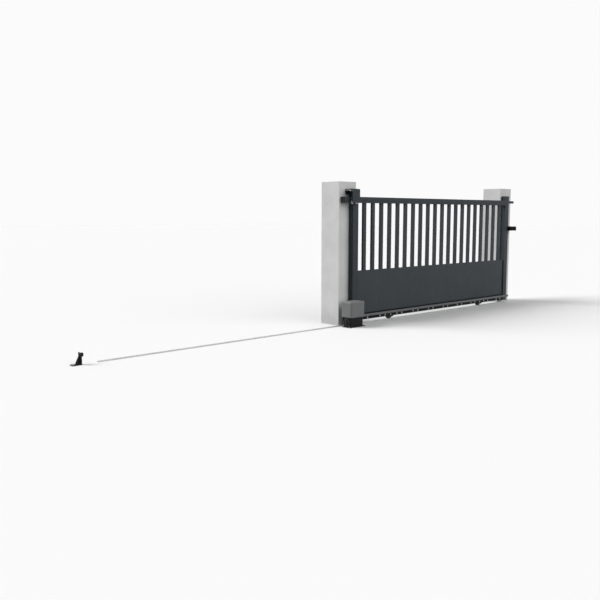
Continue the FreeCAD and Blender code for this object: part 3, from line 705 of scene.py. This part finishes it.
def mount_places(name):
    """Hole centres of a bolt pattern on the ground."""
    mount = next(entry for entry in frame["record"]["mounts"] if entry["name"] == name)
    half_x = mount["dims"].get("spacing_x_mm", 0) / (2 * MILLIMETRES_IN_METRE)
    half_y = mount["dims"].get("spacing_y_mm", 0) / (2 * MILLIMETRES_IN_METRE)
    x, y, _ = mount["pos_m"]
    offsets = {(sign_x * half_x, sign_y * half_y) for sign_x in (-1, 1) for sign_y in (-1, 1)}
    return [(x + dx, y + dy) for dx, dy in sorted(offsets)]


# Ground fixings

def ground_anchors():
    plate_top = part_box("motor_plate")[1][2]
    mesh = bmesh.new()
    for x, y in mount_places("motor_plate_anchors"):
        add_hex_bolt(mesh, (x, y, plate_top), UP)
    for x, y in mount_places("open_stop_anchors"):
        add_hex_bolt(mesh, (x, y, STOP_FOOT_TOP), UP)
    finish_piece("ground_anchor_bolts", mesh, "galvanised", "fixed_frame")


def track_screws():
    mesh = bmesh.new()
    for side in ("left", "middle", "right"):
        for x, y in mount_places("track_anchors_" + side):
            add_flat_screw(mesh, (x, y, TRACK_BASE_TOP), UP, TRACK_SCREW_SCALE)
    finish_piece("track_screws", mesh, "galvanised", "fixed_frame")


def stop_welds():
    """Beads along both sides of the stop's rib and across the foot of its plate."""
    low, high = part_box("open_stop")
    y = (low[1] + high[1]) / 2
    face = high[0] - STOP_SHEET
    rib_top = high[2] - STOP_BEAD_BELOW_TOP
    rib_end = face - STOP_BEAD_REACH
    foot = STOP_FOOT_TOP
    mesh = bmesh.new()
    for side in (-1, 1):
        rib = y + side * STOP_SHEET / 2
        add_weld_bead(mesh, (face, rib, foot), (face, rib, rib_top), STOP_BEAD)
        add_weld_bead(mesh, (rib_end, rib, foot), (face, rib, foot), STOP_BEAD)
    add_weld_bead(mesh, (face, low[1] + STOP_BEAD, foot), (face, high[1] - STOP_BEAD, foot), STOP_BEAD)
    finish_piece("stop_welds", mesh, "black_steel", "fixed_frame")


# Running gear and rack

def lug_screws():
    low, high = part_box("rack_spacers")
    pairs = round((high[0] - low[0] - LUG_PAIR_SPACING) / LUG_PAIR_PITCH) + 1
    first = (low[0] + high[0]) / 2 - (pairs - 1) * LUG_PAIR_PITCH / 2
    mesh = bmesh.new()
    for index in range(pairs):
        for side in (-1, 1):
            x = first + index * LUG_PAIR_PITCH + side * LUG_PAIR_SPACING / 2
            add_flat_screw(mesh, (x, low[1], low[2] + LUG_SCREW_RISE), TO_GARDEN)
    finish_piece("lug_screws", mesh, "galvanised", "leaf")


def bottom_shade_seal():
    """A rubber trim along both lower edges of the bottom rail, broken at the wheels and the end shoe;
    its black is partly the rubber's own colour, partly painted shade along the rail's foot.
    """
    low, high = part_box("bottom_rail")
    breaks = [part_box(node) for node in ("left_carriage", "right_carriage", "end_shoe")]
    starts = [low[0]] + [box[1][0] for box in breaks]
    stops = [box[0][0] for box in breaks]
    mesh = bmesh.new()
    for start, stop in zip(starts, stops):
        for wall in (low[1] + RAIL_WALL / 2, high[1] - RAIL_WALL / 2):
            bend = arc_points(wall, low[2] - SEAL_DROP + SEAL_BEND, SEAL_BEND, 0, -180, SEAL_STEPS)
            section = [(wall + SEAL_BEND, low[2])] + bend + [(wall - SEAL_BEND, low[2])]
            ribbon(mesh, [(start, y, z) for y, z in section], SEAL_SHEET, (stop - start, 0, 0))
    finish_piece("bottom_shade_seal", mesh, "rubber", "leaf")


def axle_nuts():
    mesh = bmesh.new()
    for node in ("left_axle", "right_axle"):
        low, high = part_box(node)
        x, _, z = middle(node)
        radius = (high[2] - low[2]) / 2
        add_axle_nut(mesh, (x, low[1], z), TO_GARDEN, radius)
        add_axle_nut(mesh, (x, high[1], z), TO_STREET, radius)
    finish_piece("axle_nuts", mesh, "galvanised", "leaf")


# Guide over the top rail

def guide_bolts():
    """Two wall bolts in the bracket's back leg and a flat screw over each roller pin."""
    low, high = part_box("guide_bracket")
    inner_face = high[1] - GUIDE_SHEET
    bolt_z = high[2] - GUIDE_SHEET - WASHER_RADIUS
    mesh = bmesh.new()
    for share in GUIDE_BOLT_SHARES:
        x = low[0] + share * (high[0] - low[0])
        add_hex_bolt(mesh, (x, inner_face, bolt_z), TO_GARDEN, GUIDE_BOLT_SCALE)
    for side in ("left", "right"):
        x, y, _ = middle("guide_roller_" + side)
        add_flat_screw(mesh, (x, y, high[2]), UP, PIN_SCREW_SCALE)
    finish_piece("guide_bolts", mesh, "black_steel", "fixed_frame")


def guide_lining():
    """A pale arched strip inside the guide's open end, paler than the nylon: partly a nylon part, partly
    a painted highlight.
    """
    low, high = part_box("guide_bracket")
    crown = high[2] - GUIDE_SHEET - ARCH_BELOW_SHEET - ARCH_THICKNESS / 2
    centre_y = high[1] - GUIDE_SHEET - ARCH_FROM_BACK
    arch = arc_points(centre_y, crown - ARCH_RADIUS, ARCH_RADIUS, ARCH_START, ARCH_STOP, ARCH_STEPS)
    mesh = bmesh.new()
    ribbon(mesh, [(low[0] - ARCH_PROUD, y, z) for y, z in arch], ARCH_THICKNESS, (ARCH_WIDTH, 0, 0))
    finish_piece("guide_lining", mesh, "nylon", "fixed_frame", ARCH_HIGHLIGHT_MATERIAL)


# Motor

def rounded_plan(x0, x1, y0, y1, radius):
    """Closed outline of a housing seen from above."""
    left, right = x0 + radius, x1 - radius
    near, far = y0 + radius, y1 - radius
    points = []
    for x, y, start in ((right, far, 0), (left, far, 90), (left, near, 180), (right, near, 270)):
        points += arc_points(x, y, radius, start, start + 90, CORNER_STEPS)
    return points


def cover_lip():
    """The rolled lower rim of the motor's cover."""
    low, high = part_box("motor_cover")
    plan = rounded_plan(low[0] + LIP_INSET, high[0] - LIP_INSET, low[1] + LIP_INSET, high[1] - LIP_INSET,
                        PLAN_CORNER)
    outline = [(x, y, low[2] + LIP_RAISE) for x, y in plan]
    mesh = bmesh.new()
    ribbon(mesh, outline, LIP_THICKNESS, (0, 0, LIP_HEIGHT), closed=True)
    finish_piece("cover_lip", mesh, "grey_plastic", "fixed_frame")


def bell_rings():
    """Raised rings on the motor's end bell, round the release knob, in a lighter grey that is a painted
    highlight.
    """
    bell_low, bell_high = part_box("motor_bell")
    knob_low, knob_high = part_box("release_knob")
    _, y, z = middle("motor_bell")
    outer = (bell_high[1] - bell_low[1]) / 2
    inner = (knob_high[1] - knob_low[1]) / 2
    foot = RING_WIDTH / 2
    crown = RING_WIDTH / 3
    matrix = facing((bell_low[0], y, z), TO_LEFT)
    mesh = bmesh.new()
    for share in RING_SHARES:
        radius = inner + share * (outer - inner)
        section = [(radius - foot, -RING_SUNK), (radius - crown, RING_HEIGHT),
                   (radius + crown, RING_HEIGHT), (radius + foot, -RING_SUNK)]
        lathe(mesh, section, 2 * ROUND_SIDES, matrix, ring_shape=True)
    finish_piece("bell_rings", mesh, "black_plastic", "fixed_frame", RING_HIGHLIGHT_MATERIAL)


def knob_grip():
    """A raised bar across the release knob, in the same lighter grey, a painted highlight."""
    low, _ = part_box("release_knob")
    _, y, z = middle("release_knob")
    half = GRIP_WIDTH / 2
    reach = GRIP_LENGTH / 2 - half
    first_end = arc_points(reach, 0, half, -90, 90, GRIP_STEPS)
    second_end = arc_points(-reach, 0, half, 90, 270, GRIP_STEPS)
    mesh = bmesh.new()
    frustum(mesh, first_end + second_end, GRIP_HEIGHT, GRIP_TAPER, facing((low[0], y, z), TO_LEFT))
    finish_piece("knob_grip", mesh, "black_plastic", "fixed_frame", RING_HIGHLIGHT_MATERIAL)


# Catch

def catch_lining():
    """Thin rubber round the catch's mouth, where the closing stile comes in."""
    low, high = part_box("closing_catch")
    stile_low, stile_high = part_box("right_stile")
    front = stile_low[1] - CATCH_GAP + CATCH_LINING / 2
    back = stile_high[1] + CATCH_GAP - CATCH_LINING / 2
    end = stile_high[0] + CATCH_END_GAP - CATCH_LINING / 2
    mouth = low[0] + CATCH_MOUTH
    plan = [(mouth, front), (end - CATCH_CORNER, front), (end, front + CATCH_CORNER),
            (end, back - CATCH_CORNER), (end - CATCH_CORNER, back), (mouth, back)]
    path = [(x, y, low[2] + CATCH_LINING_INSET) for x, y in plan]
    mesh = bmesh.new()
    ribbon(mesh, path, CATCH_LINING, (0, 0, high[2] - low[2] - 2 * CATCH_LINING_INSET))
    finish_piece("catch_lining", mesh, "rubber", "fixed_frame")


def catch_bolts():
    low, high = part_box("closing_catch")
    stile_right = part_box("right_stile")[1][0]
    z = (low[2] + high[2]) / 2
    mesh = bmesh.new()
    for share in CATCH_BOLT_SHARES:
        x = stile_right + share * (high[0] - stile_right)
        add_hex_bolt(mesh, (x, low[1], z), TO_GARDEN)
    finish_piece("catch_bolts", mesh, "black_steel", "fixed_frame")


# Camera, floor and light

def add_camera():
    data = bpy.data.cameras.new("camera")
    data.lens = CAMERA_LENS
    data.sensor_width = CAMERA_SENSOR
    data.clip_end = CAMERA_REACH
    camera = bpy.data.objects.new("camera", data)
    camera.location = CAMERA_PLACE
    camera.rotation_euler = (math.radians(90 - CAMERA_PITCH), 0, math.radians(-CAMERA_YAW))
    bpy.context.scene.collection.objects.link(camera)
    bpy.context.scene.camera = camera


def seen_or_mirrored(tree):
    """1 where a surface is looked at directly or by reflection, 0 where it only sends light on."""
    path = tree.nodes.new("ShaderNodeLightPath")
    direct = arithmetic(tree, "MAXIMUM", path.outputs["Is Camera Ray"], path.outputs["Is Glossy Ray"])
    return arithmetic(tree, "MAXIMUM", direct, path.outputs["Is Transmission Ray"])


def floor_material():
    material, tree, shader = new_material("pale_floor")
    bounce = (FLOOR_BOUNCE, FLOOR_BOUNCE, FLOOR_BOUNCE)
    pale = (FLOOR_SEEN, FLOOR_SEEN, FLOOR_SEEN)
    tree.links.new(blend(tree, seen_or_mirrored(tree), bounce, pale), shader.inputs["Base Color"])
    shader.inputs["Roughness"].default_value = FLOOR_ROUGHNESS
    shader.inputs["Specular IOR Level"].default_value = 0.0
    return material


def add_floor():
    mesh = bmesh.new()
    signs = ((-1, -1), (1, -1), (1, 1), (-1, 1))
    mesh.faces.new([mesh.verts.new((x * FLOOR_HALF, y * FLOOR_HALF, 0)) for x, y in signs])
    data = bpy.data.meshes.new("floor")
    mesh.to_mesh(data)
    mesh.free()
    floor = bpy.data.objects.new("floor", data)
    floor.location.z = -FLOOR_DROP
    bpy.context.scene.collection.objects.link(floor)
    data.materials.append(floor_material())


def add_sun(name, strength, angle, source):
    data = bpy.data.lights.new(name, "SUN")
    data.energy = strength
    data.angle = math.radians(angle)
    sun = bpy.data.objects.new(name, data)
    sun.rotation_euler = Vector(source).to_track_quat("Z", "Y").to_euler()
    bpy.context.scene.collection.objects.link(sun)


def add_sky():
    """An open sky that is brighter towards the right pier, with a plain pale background."""
    world = bpy.data.worlds.new("sky")
    world.use_nodes = True
    bpy.context.scene.world = world
    tree = world.node_tree
    background = tree.nodes["Background"]
    background.inputs["Color"].default_value = WHITE
    seen = seen_or_mirrored(tree)
    across = tree.nodes.new("ShaderNodeSeparateXYZ")
    tree.links.new(tree.nodes.new("ShaderNodeTexCoord").outputs["Generated"], across.inputs["Vector"])
    left = SKY_STRENGTH * SKY_FROM_LEFT
    right = SKY_STRENGTH * SKY_FROM_RIGHT
    sky = remap(tree, across.outputs["X"], SKY_SPAN, left, right)
    unseen = arithmetic(tree, "MULTIPLY", sky, arithmetic(tree, "SUBTRACT", 1.0, seen))
    shown = arithmetic(tree, "MULTIPLY", seen, BACKGROUND_WHITE)
    tree.links.new(arithmetic(tree, "ADD", unseen, shown), background.inputs["Strength"])


bpy.context.scene.view_settings.view_transform = "Standard"
dress_cad_nodes()
ground_anchors()
track_screws()
stop_welds()
lug_screws()
bottom_shade_seal()
axle_nuts()
guide_bolts()
guide_lining()
cover_lip()
bell_rings()
knob_grip()
catch_lining()
catch_bolts()
add_camera()
add_floor()
add_sun("sun", SUN_STRENGTH, SUN_ANGLE, SUN_FROM)
add_sun("fill", FILL_STRENGTH, FILL_ANGLE, FILL_FROM)
add_sky()
